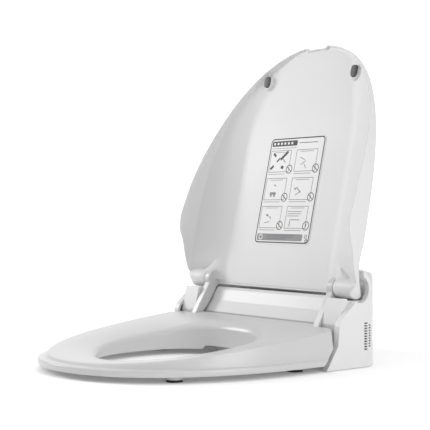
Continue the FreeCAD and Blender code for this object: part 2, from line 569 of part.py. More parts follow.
def make_base(wand_ways):
    outer = plan_solid("base_plan", size("case_half"), 0, 0.6, size("split_z"))
    front = box("base_front", (-FAR, "case_front_y", 0), (FAR, 100, 40))
    nose = box("nose_outer", ("0-nose_half", "nose_y", 0.6), ("nose_half", -50, "split_z"))
    inner = common("base_hollow", plan_solid("base_plan_in", size("case_half") - 3, 3, 3, 40),
                   box("base_front_in", (-FAR, "case_front_y+3", 0), (FAR, 100, 40)))
    nose_room = box("nose_inner", ("0-nose_half+3", "nose_y+3", 3), ("nose_half-3", -50, 40))
    shell = cut("base_shell", fuse("base_outer", common("base_block", outer, front), nose),
                inner, nose_room)
    deck = box("base_deck", ("0-plate_half-4", -40, 0.6), ("plate_half+4", "case_rear_y-1", 9.3))
    keel = box("base_keel", ("0-plate_half-4", -48, 0), ("plate_half+4", -36.3, 9.3))
    flange_way = box("plate_way", ("0-plate_half-0.4", -36, 2.5),
                     ("plate_half+0.4", 70, "plate_z+0.4"))
    lip_way = box("lip_way", ("0-plate_lip_half-0.4", -36, -1), ("plate_lip_half+0.4", 70, 3))
    feet = [box("base_foot_%d" % n, (x - 12, y - 8, 0), (x + 12, y + 8, 3))
            for n, (x, y) in enumerate(((150, -48), (-150, -48), (135, 10), (-135, 10)))]
    air_way = box("air_way", (44, "nose_y-1", 9), (66, "nose_y+4", 23))
    bores = [rod("cord_way", "y", (70, 50, 20), 7, 20)]
    inlet_way = rod("inlet_way", "x", (-186, "inlet_y", "inlet_z"), 13, 10)
    finish("base_case", cut("base_cut", fuse("base_all", shell, deck, keel, *feet), flange_way,
                            lip_way, air_way, inlet_way, *(wand_ways + bores)))
    roof = side_profile("nozzle_roof", "0-nose_half", "nose_half", [
        ("nose_y", "split_z+0.2"), ("nose_y", "split_z+2"), ("nose_y+5", "split_z+4.5"),
        ("nose_y+20", "split_z+6.6"), ("case_front_y-0.4", "split_z+6.6"),
        ("case_front_y-0.4", "split_z+0.2")])
    finish("nozzle_cover", cut("nozzle_cover_cut", roof, *wand_ways))
    finish("cord_gland", cut("gland_body", fuse(
        "gland_solid", rod("gland_neck", "y", (70, 56, 20), 6.9, 6),
        rod("gland_flange", "y", (70, "case_rear_y", 20), 9, 4)),
        rod("gland_bore", "y", (70, 50, 20), 3.6, 20)))

    flange = box("plate_flange", ("0-plate_half", "0-plate_y", 2.8),
                 ("plate_half", "plate_y", "plate_z"))
    core = box("plate_core", ("0-plate_lip_half", "0-plate_y", 0),
               ("plate_lip_half", "plate_y", "plate_z"))
    slots = []
    for n, x in enumerate(("bolt_x", "0-bolt_x")):
        for deep, rad in (("-1", "slot_rad"), ("plate_z-2.6", "slot_rad+4")):
            ends = [rod("slot_end_%d" % n, "z", ("%s+(%s)*(slot_len/2-slot_rad)" % (x, side), 0, deep),
                        rad, 20) for side in (1, -1)]
            middle = box("slot_mid_%d" % n, ("%s-(slot_len/2-slot_rad)" % x, "0-(%s)" % rad, deep),
                         ("%s+(slot_len/2-slot_rad)" % x, rad, 20))
            slots.extend(ends + [middle])
    finish("mount_plate", cut("plate_cut", fuse("plate_solid", flange, core), *slots))


def make_hinge_pins():
    pin = hinge_rod("pin_right", "arm_in+1", "boss_out-1.2", "pin_rad")
    finish("hinge_pins", both("pin_pair", pin))


# ---------------------------------------------------------------- washing

def rack_shape():
    """A bar with straight-sided teeth, for the pinion to drive; y runs back from the tip."""
    pitch = math.pi * size("gear_module")
    line, depth, tall = size("rack_pitch_z"), 1.1, 0.8
    first, last = size("pinion_at") - 4 * pitch, size("wand_len") - 1.5
    slant = math.tan(math.radians(20))
    tooth = pitch / 4 - 0.13
    points = [Vector(-2, first - 2 * pitch, 4), Vector(-2, first - 2 * pitch, line - depth)]
    middle = first
    while middle + pitch / 2 < last:
        points.append(Vector(-2, middle - tooth - slant * depth, line - depth))
        points.append(Vector(-2, middle - tooth + slant * tall, line + tall))
        points.append(Vector(-2, middle + tooth - slant * tall, line + tall))
        points.append(Vector(-2, middle + tooth + slant * depth, line - depth))
        middle += pitch
    points += [Vector(-2, last, line - depth), Vector(-2, last, 4), points[0]]
    return Part.Face(Part.makePolygon(points)).extrude(Vector(4, 0, 0))


def pinion_shape(low_x, high_x):
    """An involute pinion about +x with a tooth gap facing down, where the rack's tooth stands."""
    teeth, module = int(size("gear_teeth")), size("gear_module")
    pitch_rad, angle = module * teeth / 2, math.radians(20)
    base_rad, tip_rad, root_rad = pitch_rad * math.cos(angle), pitch_rad + 0.8, pitch_rad - 1.1
    half_tooth = math.pi / teeth / 2 - 0.13 / pitch_rad

    def flank(rad):
        roll = math.sqrt(max((rad / base_rad) ** 2 - 1, 0))
        roll_pitch = math.sqrt((pitch_rad / base_rad) ** 2 - 1)
        return half_tooth + (roll_pitch - math.atan(roll_pitch)) - (roll - math.atan(roll))

    def at(rad, turn):
        return Vector(low_x, rad * math.sin(turn), -rad * math.cos(turn))

    radii = [base_rad, base_rad + 0.5, pitch_rad + 0.25, tip_rad]
    points = []
    for tooth in range(teeth):
        middle = 2 * math.pi * (tooth + 0.5) / teeth
        points.append(at(root_rad, middle - flank(base_rad)))
        points += [at(rad, middle - flank(rad)) for rad in radii]
        points += [at(rad, middle + flank(rad)) for rad in reversed(radii)]
        points.append(at(root_rad, middle + flank(base_rad)))
    points.append(points[0])
    wheel = Part.Face(Part.makePolygon(points)).extrude(Vector(high_x - low_x, 0, 0))
    return wheel.cut(Part.makeCylinder(2, high_x - low_x, Vector(low_x, 0, 0), ACROSS))


def make_wand(side, sign, jets):
    """One wand with its nozzle tip, pinion and motor."""
    across = "%d*wand_x" % sign
    tube = rod("wand_tube_" + side, "y", (0, 8, 0), "wand_rad", "wand_len-8")
    bar = feature("rack_" + side, rack_shape())
    finish("wand_" + side, in_wand("wand_placed_" + side, across,
                                   fuse("wand_body_" + side, tube, bar)))
    cap = doc.addObject("Part::Fillet", "tip_cap_" + side)
    cap.Base = rod("tip_rod_" + side, "y", (0, 0, 0), "wand_rad", 8)
    doc.recompute()
    front = [n + 1 for n, edge in enumerate(cap.Base.Shape.Edges)
             if edge.Closed and edge.BoundBox.YMax < 1]
    cap.Edges = [(n, 2.5, 2.5) for n in front]
    holes = [rod("jet_%s_%d" % (side, n), "z", (2.4 * (n % 3 - 1), 4.2 + 1.4 * (n // 3), 2), 0.5, 8)
             for n in range(jets)]
    finish("nozzle_tip_" + side, in_wand("tip_placed_" + side, across,
                                         cut("tip_cut_" + side, cap, *holes)))

    up = "rack_pitch_z+gear_module*gear_teeth/2"
    wheel = feature("pinion_wheel_" + side, pinion_shape(-2.5, 2.5))
    finish("drive_pinion_" + side, turned(
        "pinion_placed_" + side,
        (across, "wand_y+pinion_at*cos(wand_slope)-(%s)*sin(wand_slope)" % up,
         "wand_z+pinion_at*sin(wand_slope)+(%s)*cos(wand_slope)" % up), "wand_slope", wheel))
    can_start, shaft_start = (6, -2.5) if sign > 0 else (-26, -6)
    can = rod("motor_can_" + side, "x", (can_start, "pinion_at", up), 11, 20)
    shaft = rod("motor_shaft_" + side, "x", (shaft_start, "pinion_at", up), 1.94, 8.5)
    finish("stepper_motor_" + side, in_wand("motor_placed_" + side, across,
                                            fuse("motor_" + side, can, shaft)))
    way = rod("frame_way_" + side, "y", (0, -10, 0), "wand_rad+run_gap*2", 200)
    saddle = box("motor_saddle_" + side, (can_start, "pinion_at-13", 2),
                 (can_start + 20, "pinion_at+13", up + "-3"))
    seat = rod("motor_seat_" + side, "x", (can_start - 5, "pinion_at", up), 11.05, 30)
    return (in_wand("saddle_placed_" + side, across, saddle),
            in_wand("way_placed_" + side, across, way),
            in_wand("seat_placed_" + side, across, seat))


def make_wands():
    wedge = side_profile("frame_wedge", -30, 30, [
        (-58, 3.1), (-49, 3.1), (-49, 9.4), (-2, 9.4), (-2, 50.2), (-58, 27.6)])
    solids, rooms = [wedge], []
    for side, sign, jets in (("right", 1, 3), ("left", -1, 5)):
        saddle, way, seat = make_wand(side, sign, jets)
        solids.append(saddle)
        rooms.extend([way, seat])
    finish("nozzle_frame", cut("frame_cut", fuse("frame_all", *solids), *rooms))


def make_water():
    finish("water_heater", fuse("heater_all", box("heater_tank", (-152, -30, 10), (-62, 10, 58)),
                                rod("heater_in", "z", (-142, 0, 58), 4, 10),
                                rod("heater_out", "z", (-72, 0, 58), 4, 10)))
    finish("inlet_valve", fuse("valve_all", box("valve_block", (-176, -32, 30.5), (-156, -8, 58)),
                               rod("valve_coil", "z", (-166, "inlet_y", 58), 9, 24)))

    def pipe(name, start, radius, length):
        return rod(name, "x", (start, "inlet_y", "inlet_z"), radius, length)

    nipple = fuse("nipple_solid", pipe("nipple_tube", -207, "inlet_rad", 20),
                  pipe("nipple_collar", -187, 12.4, 6), pipe("nipple_tail", -181, 6, 5))
    finish("inlet_nipple", cut("nipple_cut", nipple, pipe("nipple_bore", -208, 4.5, 44)))
    finish("inlet_seal", cut("seal_ring", pipe("seal_out", -181, 8, 2.4),
                             pipe("seal_in", -182, 6, 5)))
    finish("distributor_valve", fuse("distributor_all",
                                     box("distributor_box", (-24, 8, 10), (24, 34, 40)),
                                     rod("distributor_motor", "x", (24, 21, 25), 10, 16)))
    finish("vacuum_breaker", rod("breaker_cup", "z", (-100, 30, 62), 12, 34))


def make_air():
    volute = cut("volute_shell", rod("volute_out", "x", ("fan_x", "fan_y", "fan_z"), "fan_rad+2.5",
                                     "fan_wide"),
                 rod("volute_in", "x", ("fan_x+2", "fan_y", "fan_z"), "fan_rad", "fan_wide-4"),
                 rod("volute_eye", "x", ("fan_x+20", "fan_y", "fan_z"), 13, 20),
                 rod("volute_shaft", "x", ("fan_x-5", "fan_y", "fan_z"), 3, 20),
                 box("volute_mouth", ("fan_x-5", -56, 12), ("fan_x+8", -42, 30)))
    finish("blower_housing", volute)
    finish("blower_motor", fuse("blower_drive",
                                rod("blower_can", "x", ("fan_x-22", "fan_y", "fan_z"), 12, 22),
                                rod("blower_shaft", "x", ("fan_x", "fan_y", "fan_z"), 1.45, 14)))
    blades = [rod("impeller_hub", "x", ("fan_x+3", "fan_y", "fan_z"), 4, 12),
              rod("impeller_disc", "x", ("fan_x+3", "fan_y", "fan_z"), "fan_rad-3", 1.5)]
    count = 14
    for blade in range(count):
        vane = box("vane_%d" % blade, (0, 0, 0), (13, 7.5, 1.2))
        turn = Rotation(ACROSS, 360 * blade / count)
        reach = turn.multVec(Vector(0, size("fan_rad") - 11.5, 0))
        base = Vector(size("fan_x") + 4, size("fan_y"), size("fan_z"))
        for axis in "xyz":
            vane.setExpression("Placement.Base." + axis, None)
        vane.Placement = Placement(base + reach, turn.multiply(Rotation(ACROSS, 28)))
        blades.append(vane)
    finish("impeller", cut("impeller_cut", fuse("impeller_all", *blades),
                           rod("impeller_bore", "x", ("fan_x", "fan_y", "fan_z"), 1.5, 20)))
    duct = cut("duct_shell", fuse("duct_out", box("duct_long", (44, -57, 11.5), (146, -41, 29.5)),
                                  box("duct_mouth", (42, -92, 9.7), (68, -45, 25.5))),
               box("duct_in", (46, -55, 13.5), (147, -43, 27.5)),
               box("duct_mouth_in", (44, -95, 11.5), (66, -50, 23.5)))
    finish("dryer_duct", duct)
    finish("dryer_heater", box("dryer_core", (84, -54.5, 14.5), (124, -43.5, 26.5)))


def make_electrics():
    finish("main_board", fuse("board_all", box("board_plate", (-78, -2, 99), (78, 50, 100.6)),
                              box("board_relay", (20, 8, 88), (44, 30, 99)),
                              box("board_socket", (-60, 30, 91), (-24, 42, 99))))
    finish("power_board", fuse("power_all", box("power_plate", (56, 4, 10), (150, 5.6, 62)),
                               box("power_core", (66, 5.6, 16), (96, 28, 44)),
                               rod("power_can", "y", (112, 5.6, 26), 8, 20),
                               rod("power_can_two", "y", (132, 5.6, 26), 7, 14)))


def make_buttons():
    """Keys on the far side panel; each has a collar inside that stops it coming out."""
    for number, node in enumerate(("power_button", "wash_button")):
        place = ("0-side_half-1.5", "key_y", "key_z-20*%d" % number)
        stem = rod("key_stem_%d" % number, "x", place, "key_rad", 7)
        collar = rod("key_collar_%d" % number, "x",
                     ("0-side_half+3.3", place[1], place[2]), "key_rad+2", 1.6)
        finish(node, fuse("key_all_%d" % number, stem, collar))
    face = box("release_face", ("0-side_half-2", -72, 18), ("0-side_half+4.5", -50, 30))
    collar = box("release_collar", ("0-side_half+3.3", -74, 16), ("0-side_half+4.9", -48, 32))
    finish("release_button", fuse("release_all", face, collar))


def make_screws():
    screws = []
    for n, (x, y) in enumerate(((168, -50), (-168, -50), (128, 24), (-128, 24))):
        head = rod("screw_head_%d" % n, "z", (x, y, 3.1), 3.6, 2.4)
        shank = rod("screw_shank_%d" % n, "z", (x, y, 5.5), 1.7, 14)
        screws.append(fuse("screw_%d" % n, head, shank))
    group = doc.addObject("Part::Compound", "screw_group")
    group.Links = screws
    finish("case_screws", group)


make_lid()
make_seat()
passages = wand_passages()
make_cover(passages)
make_sides()
make_base(passages)
make_hinge_pins()
make_wands()
make_water()
make_air()
make_electrics()
make_buttons()
make_screws()

doc.recompute()
for thing in doc.Objects:
    if "Invalid" in thing.State or "Error" in thing.State:
        raise RuntimeError("%s is %s" % (thing.Name, thing.State))
for thing in finished:
    if thing.Shape.isNull() or not thing.Shape.isValid():
        raise RuntimeError("%s has no valid shape" % thing.Label)

os.makedirs("parts", exist_ok=True)
for thing in finished:
    thing.Shape.exportStep("parts/%s.step" % thing.Label)
    solids = len(thing.Shape.Solids)
    print("%-22s %2d solids %9.0f mm3" % (thing.Label, solids, thing.Shape.Volume))
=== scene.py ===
import bpy
import bmesh
import json
import math
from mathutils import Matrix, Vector


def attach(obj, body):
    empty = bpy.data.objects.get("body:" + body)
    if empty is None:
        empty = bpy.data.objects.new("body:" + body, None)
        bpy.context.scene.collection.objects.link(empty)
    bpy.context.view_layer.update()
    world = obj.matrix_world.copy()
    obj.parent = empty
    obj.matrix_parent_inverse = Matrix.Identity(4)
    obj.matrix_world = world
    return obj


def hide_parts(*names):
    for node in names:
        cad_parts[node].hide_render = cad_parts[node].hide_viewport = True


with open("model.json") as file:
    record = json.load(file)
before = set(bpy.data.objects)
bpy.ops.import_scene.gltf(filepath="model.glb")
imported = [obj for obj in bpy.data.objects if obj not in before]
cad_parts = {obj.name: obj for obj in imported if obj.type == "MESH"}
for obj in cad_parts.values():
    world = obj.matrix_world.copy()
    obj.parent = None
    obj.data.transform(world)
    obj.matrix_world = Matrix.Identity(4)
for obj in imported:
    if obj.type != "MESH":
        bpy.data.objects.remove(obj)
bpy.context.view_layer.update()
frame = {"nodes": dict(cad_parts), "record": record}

MM = 0.001
nodes = frame["nodes"]
scene = bpy.context.scene
collection = scene.collection

# The object's lengths are in millimetres, in the CAD's frame: x to the right, y to the rear, z up.
# The stage's are in metres.
# The lid and the seat turn about the same line. The open lid leans back by LEAN, and is drawn in a frame
# of its own: x across, "along" from the hinge to its tip, "depth" out of its inner face.
HINGE_Y, HINGE_Z = -43.0, 111.0
LEAN = math.radians(13)


# ------------------------------------------------------------------ small maths

def lerp(a, b, t):
    return a + (b - a) * t


def clamp(value, low=0.0, high=1.0):
    return max(low, min(high, value))


def ease(value, start, end):
    """0 before start, 1 after end, smooth between them."""
    t = clamp((value - start) / (end - start))
    return t * t * (3 - 2 * t)


def soft_max(a, b, blend):
    """The larger of two heights, rounded where they cross."""
    gap = clamp(0.5 + 0.5 * (a - b) / blend)
    return lerp(b, a, gap) + blend * gap * (1 - gap)


def curve_through(points):
    """A smooth function through (place, value) points, straight on beyond the ends."""
    xs = [p[0] for p in points]
    ys = [p[1] for p in points]
    slopes = [(b - a) / (q - p) for a, b, p, q in zip(ys, ys[1:], xs, xs[1:])]
    tangents = [slopes[0]] + [(a + b) / 2 for a, b in zip(slopes, slopes[1:])] + [slopes[-1]]

    def value(x):
        if x <= xs[0]:
            return ys[0] + tangents[0] * (x - xs[0])
        if x >= xs[-1]:
            return ys[-1] + tangents[-1] * (x - xs[-1])
        k = max(i for i in range(len(xs) - 1) if xs[i] <= x)
        span = xs[k + 1] - xs[k]
        t = (x - xs[k]) / span
        return ((2 * t ** 3 - 3 * t ** 2 + 1) * ys[k] + (t ** 3 - 2 * t ** 2 + t) * span * tangents[k]
                + (3 * t ** 2 - 2 * t ** 3) * ys[k + 1] + (t ** 3 - t ** 2) * span * tangents[k + 1])
    return value


# ------------------------------------------------------------------ materials

FLOW_SCALE, FLOW_DETAIL = 9.0, 3.0      # slow variation of colour and gloss
GRAIN_DETAIL, BUMP_DEPTH = 2.0, 0.0004  # fine relief, in metres
GLOSS_SPREAD = 0.12
COAT_ROUGHNESS = 0.15


def plastic(name, colour, rough, mottle=0.007, grain=900.0, relief=0.02, coat=0.0, metal=0.0):
    """A surface with faint flow variation in colour and gloss, and fine relief."""
    material = bpy.data.materials.new(name)
    material.use_nodes = True
    tree = material.node_tree
    shader = tree.nodes["Principled BSDF"]
    shader.inputs["Coat Weight"].default_value = coat
    shader.inputs["Coat Roughness"].default_value = COAT_ROUGHNESS
    shader.inputs["Metallic"].default_value = metal
    place = tree.nodes.new("ShaderNodeTexCoord")
    flow = tree.nodes.new("ShaderNodeTexNoise")
    flow.inputs["Scale"].default_value = FLOW_SCALE
    flow.inputs["Detail"].default_value = FLOW_DETAIL
    tree.links.new(place.outputs["Object"], flow.inputs["Vector"])
    tint = tree.nodes.new("ShaderNodeValToRGB")
    tint.color_ramp.elements[0].position = 0.15
    tint.color_ramp.elements[1].position = 0.85
    tint.color_ramp.elements[0].color = [c * (1 - mottle) for c in colour] + [1]
    tint.color_ramp.elements[1].color = [min(1, c * (1 + mottle)) for c in colour] + [1]
    tree.links.new(flow.outputs["Fac"], tint.inputs["Fac"])
    tree.links.new(tint.outputs["Color"], shader.inputs["Base Color"])
    gloss = tree.nodes.new("ShaderNodeMapRange")
    gloss.inputs["To Min"].default_value = rough * (1 - GLOSS_SPREAD)
    gloss.inputs["To Max"].default_value = rough * (1 + GLOSS_SPREAD)
    tree.links.new(flow.outputs["Fac"], gloss.inputs["Value"])
    tree.links.new(gloss.outputs["Result"], shader.inputs["Roughness"])
    fine = tree.nodes.new("ShaderNodeTexNoise")
    fine.inputs["Scale"].default_value = grain
    fine.inputs["Detail"].default_value = GRAIN_DETAIL
    tree.links.new(place.outputs["Object"], fine.inputs["Vector"])
    bump = tree.nodes.new("ShaderNodeBump")
    bump.inputs["Strength"].default_value = relief
    bump.inputs["Distance"].default_value = BUMP_DEPTH
    tree.links.new(fine.outputs["Fac"], bump.inputs["Height"])
    tree.links.new(bump.outputs["Normal"], shader.inputs["Normal"])
    return material


LID_WHITE = plastic("lid_white", (0.66, 0.66, 0.665), 0.46)
SEAT_WHITE = plastic("seat_white", (0.56, 0.56, 0.565), 0.30, relief=0.01)
CASE_WHITE = plastic("case_white", (0.69, 0.69, 0.695), 0.36)
PALE = plastic("pale_plastic", (0.58, 0.58, 0.59), 0.35)
LABEL = plastic("label_film", (0.70, 0.70, 0.70), 0.45)
INK = plastic("label_ink", (0.03, 0.03, 0.032), 0.55)
SOFT_INK = plastic("label_soft_ink", (0.24, 0.24, 0.25), 0.55)
FINE_INK = plastic("label_fine_ink", (0.13, 0.13, 0.135), 0.55)
BUMPER = plastic("grey_rubber", (0.08, 0.08, 0.083), 0.55, grain=500, relief=0.08)
BLACK = plastic("black_rubber", (0.018, 0.018, 0.018), 0.7, grain=500, relief=0.1)
DARK = plastic("dark_plastic", (0.03, 0.03, 0.033), 0.45)
NATURAL = plastic("natural_plastic", (0.6, 0.59, 0.55), 0.5)
STEEL = plastic("steel", (0.55, 0.55, 0.56), 0.28, metal=1.0)
FOIL = plastic("heating_foil", (0.7, 0.7, 0.71), 0.35, metal=1.0)
BOARD = plastic("circuit_board", (0.02, 0.12, 0.05), 0.45)
SMOKED = plastic("smoked_window", (0.02, 0.018, 0.022), 0.12, coat=0.5)

BY_SLOT = {
    "white_lid": LID_WHITE, "white_seat": SEAT_WHITE, "white_case": CASE_WHITE,
    "white_plate": CASE_WHITE, "label_film": LABEL, "grey_rubber": BUMPER,
    "black_rubber": BLACK, "dark_plastic": DARK, "smoked_plastic": SMOKED, "steel": STEEL,
    "pale_plastic": PALE, "natural_plastic": NATURAL, "heating_foil": FOIL,
    "metal_thread": STEEL, "circuit_board": BOARD,
}
for entry in frame["record"]["subparts"]:
    mesh = nodes[entry["node"]].data
    mesh.materials.clear()
    mesh.materials.append(BY_SLOT[entry["material_slot"]])


# ------------------------------------------------------------------ mesh helpers

WELD = 1e-6  # metres: points closer than this are one point


def solid(name, points, faces, material, body, slot, replaced=(), angle=40):
    """A new piece from points in millimetres, shaded smooth except over sharp edges."""
    mesh = bpy.data.meshes.new(name)
    mesh.from_pydata([Vector(p) * MM for p in points], [], faces)
    made = bpy.data.objects.new(name, mesh)
    collection.objects.link(made)
    build = bmesh.new()
    build.from_mesh(mesh)
    bmesh.ops.remove_doubles(build, verts=build.verts, dist=WELD)
    bmesh.ops.recalc_face_normals(build, faces=build.faces)
    build.to_mesh(mesh)
    build.free()
    mesh.shade_smooth()
    mesh.set_sharp_from_angle(angle=math.radians(angle))
    mesh.materials.append(material)
    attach(made, body)
    if replaced:
        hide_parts(*replaced)
    return made


def joined(rings):
    """All the points of the rings, in order."""
    return [point for ring in rings for point in ring]


def tube_faces(rings, count):
    """Quads between closed rings of the same length, laid one after another."""
    return [(r * count + k, r * count + (k + 1) % count, (r + 1) * count + (k + 1) % count,
             (r + 1) * count + k) for r in range(rings - 1) for k in range(count)]


def torus_faces(rings, count):
    """Quads between closed rings of the same length, the last one joined to the first."""
    total = rings * count
    return [(r * count + k, (r + 1) * count % total + k, (r + 1) * count % total + (k + 1) % count,
             r * count + (k + 1) % count) for r in range(rings) for k in range(count)]


def closed_tube_faces(rings, count):
    """The same quads, with a flat face over the first ring and one over the last."""
    total = rings * count
    return tube_faces(rings, count) + [tuple(range(count)), tuple(reversed(range(total - count, total)))]


def bevel(thing, width, segments=3):
    """Round the sharp edges of a piece when it is drawn; its mesh stays as it is."""
    mod = thing.modifiers.new("edge_round", "BEVEL")
    mod.width = width * MM
    mod.segments = segments
    mod.limit_method = "ANGLE"
    mod.angle_limit = math.radians(35)
    mod.use_clamp_overlap = True
    mod.harden_normals = True


# ------------------------------------------------------------------ lid

# Half width, where along the lid it is widest, and where it ends
LID_HALF, LID_WIDE, LID_TIP, LID_FOOT = 199.0, 75.0, 388.0, -7.5
LID_MIDDLE = 150.0                 # the rings of the lid shrink towards this place along it
NOTCH_DEPTH, NOTCH_HALF = 5.5, 21.0
PANEL, PANEL_FALL = -6.1, 8.295    # depth of the flat panel, and how much deeper it is at the tip
FLANK_X, FLANK_SLOPE = 122.0, 0.3077
BOSS_RADIUS = 14.5
BARREL = 14.4                      # radius of the hinge knuckles drawn over the bosses
SHELL = 2.6                        # least thickness of the lid

# Depth of the rim's edge along the lid: low at the hinge, highest over the seat's rear, low at the tip
rim_depth = curve_through([(-20, -6), (-8, 1), (9.5, 14.6), (29.5, 25.6), (54.5, 35.5), (72, 45.5),
                           (86.5, 49.5), (102, 48.4), (119.5, 45.9), (154.5, 41), (271, 14.8),
                           (388, -11.4), (400, -14)])


def in_lid(x, along, depth):
    """A point of the lid's frame, placed in the CAD's frame with the lid open."""
    c, s = math.cos(LEAN), math.sin(LEAN)
    return (x, HINGE_Y - depth * c + along * s, HINGE_Z + depth * s + along * c)


def lid_outline(notch):
    """Right half of the lid's outline from its foot to its tip, as (x, along), with a finger notch."""
    foot = (0, 20, 40, 60, 80, 95, 108, 118, 126, 132, 136.4, 138, 143, 148.5, 150, 155, 160, 165, 170, 175)
    points = [(x, LID_FOOT) for x in foot]
    for k in range(6):
        turn = math.radians(14.1 * k - 90)
        bulge = 0.55 + 0.075 * k
        points.append((178 + 18.2 * bulge * math.cos(turn), 12 + 19.5 * math.sin(turn)))
    points.append((196.4, 12))
    points += [(lerp(196.5, LID_HALF, k / 7), lerp(17, LID_WIDE, k / 7)) for k in range(1, 7)]
    turns = [1.875 * k for k in range(45)] + [83.2, 83.7, 84.2, 84.7, 86, 88, 90]
    for turn in (math.radians(turn) for turn in turns):
        x = LID_HALF * max(math.cos(turn), 0) ** (2 / 2.1)
        along = LID_WIDE + (LID_TIP - LID_WIDE) * math.sin(turn) ** (2 / 2.5)
        points.append((x, along - notch * (1 - ease(x, NOTCH_HALF, NOTCH_HALF + 3))))
    return points


def inset_outline(points, distance):
    """The right half outline moved inwards along its normals; its two ends stay on the middle line."""
    moved = []
    for k, (x, along) in enumerate(points):
        before = points[max(k - 1, 0)]
        after = points[min(k + 1, len(points) - 1)]
        dx, dl = after[0] - before[0], after[1] - before[1]
        size = math.hypot(dx, dl) or 1
        nx, nl = -dl / size, dx / size
        if k == 0:
            nx, nl = 0, 1
        elif k == len(points) - 1:
            nx, nl = 0, -1
        moved.append((max(x + nx * distance, 0), along + nl * distance))
    return moved


def dome(x, along):
    """Depth of the lid's back: an arch, flatter near the foot, its lower corners swept forward."""
    near_foot = max(0.0, 1 - max(along - LID_FOOT, 0) / 62)
    arch = 36 * (1 - 0.83 * near_foot ** 1.8)
    corner = 10.5 * ease(abs(x), 176, 196) * (1 - ease(along, 5, 62))
    return -22 + arch * (x / LID_HALF) ** 2 + corner


def panel_depth(along):
    return PANEL - PANEL_FALL * ease(along, 225, 400)


def lid_inner(x, along):
    """Depth of the lid's inner face: a flat panel, sloping flanks and the hinge bosses."""
    flank = PANEL + FLANK_SLOPE * (abs(x) - FLANK_X)
    depth = soft_max(panel_depth(along), flank, 1.2)
    if abs(x) > 150:
        thin = dome(x, along) + 3.0
        depth = min(depth, lerp(depth, thin, ease(40 - along, 0, 30)))
    if abs(x) > 140 and abs(along) < 26:
        boss = math.sqrt(BOSS_RADIUS ** 2 - along ** 2) if abs(along) < BOSS_RADIUS else -20
        boss -= 6 * (1 - ease(abs(x), 147, 150.5))
        depth = soft_max(depth, boss, 5)
    return max(depth, dome(x, along) + SHELL)


def crease_share(x, along):
    """How far out from the lid's middle the flank starts, on the way to this edge point."""
    share = 1.0
    for _ in range(8):
        drop = panel_depth(LID_MIDDLE + (along - LID_MIDDLE) * share) - PANEL
        share = min(0.95, (FLANK_X + drop / FLANK_SLOPE) / max(abs(x), 1))
    return share


def rim_at(x, along):
    """Depth of the rim's edge, fading to the panel's own depth along the middle of the foot."""
    if abs(x) > 150:
        low = lerp(PANEL, rim_depth(along), ease(abs(x), 150, 192))
        return lerp(low, rim_depth(along), ease(along, 0, 8))
    return rim_depth(along) if along > 0 else PANEL


def make_lid():
    """One closed shell: the dome from its middle outwards, the rim, then the inner face inwards."""
    halves = {True: lid_outline(NOTCH_DEPTH), False: lid_outline(0)}

    def loop(distance, notched=True):
        moved = inset_outline(halves[notched], distance)
        return moved + [(-x, along) for x, along in reversed(moved[1:-1])]

    def shrunk(ring, shares):
        return [(x * share, LID_MIDDLE + (along - LID_MIDDLE) * share)
                for (x, along), share in zip(ring, shares)]

    full = loop(0)
    count = len(full)
    rims = [max(rim_at(x, along), dome(x, along) + 6) for x, along in full]
    rings = []

    back = loop(1.2, False)
    for share in (0.03, 0.2, 0.4, 0.6, 0.75, 0.87, 0.94, 0.98):
        rings.append([in_lid(x, along, dome(x, along)) for x, along in shrunk(back, [share] * count)])
    rings.append([in_lid(x, along, dome(x, along) + 0.5) for x, along in loop(0.6)])

    for share in (0.12, 0.35, 0.6, 0.85):
        rings.append([in_lid(x, along, lerp(dome(x, along) + 1.4, rim - 1.2, share))
                      for (x, along), rim in zip(full, rims)])
    for inset, drop in ((0.35, 0.35), (1.3, 0), (2.3, 0.35)):
        rings.append([in_lid(x, along, rim - drop) for (x, along), rim in zip(loop(inset), rims)])
    for inset, share in ((2.5, 0.05), (2.6, 0.3), (2.75, 0.6), (3.0, 0.85), (4.2, 0.95), (7.0, 0.985)):
        rings.append([in_lid(x, along, lerp(rim - 0.6, min(lid_inner(x, along), rim), share))
                      for (x, along), rim in zip(loop(inset), rims)])

    # The inner face: rings close together over the crease, where the flank meets the panel
    inner = loop(7, False)
    creases = [crease_share(x, along) for x, along in inner]
    face = [[lerp(1.0, crease + 0.02, step) for crease in creases] for step in (0.0, 0.3, 0.6, 0.85)]
    face += [[crease + 0.02 - past for crease in creases] for past in (0.0, 0.03, 0.08)]
    face += [[step * crease for crease in creases] for step in (0.9, 0.8, 0.68, 0.54, 0.4, 0.25, 0.1, 0.03)]
    for shares in face:
        rings.append([in_lid(x, along, lid_inner(x, along)) for x, along in shrunk(inner, shares)])

    return solid("lid_shell", joined(rings), closed_tube_faces(len(rings), count), LID_WHITE, "lid",
                 "white_lid", ("lid_outer", "lid_inner"))


# ------------------------------------------------------------------ seat ring

SEAT_Y = -215.0                     # the middle of the ring's opening
SEAT_SECTIONS = 160
EDGE, EDGE_WIDE, EDGE_TIP = 193.6, -116, -417   # half width of the top face, where it is widest, its tip
RIM, RIM_WIDE, RIM_TIP = 196, -130, -427        # the same for the rim round its foot
HOLE_HALF, HOLE_FRONT, HOLE_REAR = 103, 130, 101
SIDE_FOOT, WALL_FOOT = 17.6, 12.0   # height of the side above the rim, and of the opening's wall
FOIL_TOP, FOIL_UNDER = 2.7, 3.3     # depth of the heating foil's faces below the seat's top


def rear_limit(x):
    """How far back the seat reaches: stepped round the hinge blocks and the side panels."""
    return -67.2 if x < 149 else -81.2 if x < 181 else -91.2


def largest(inside, limit):
    """The largest radius up to the limit that is still inside, by halving."""
    low, high = 0.0, limit
    for _ in range(40):
        middle = (low + high) / 2
        low, high = (middle, high) if inside(middle) else (low, middle)
    return low


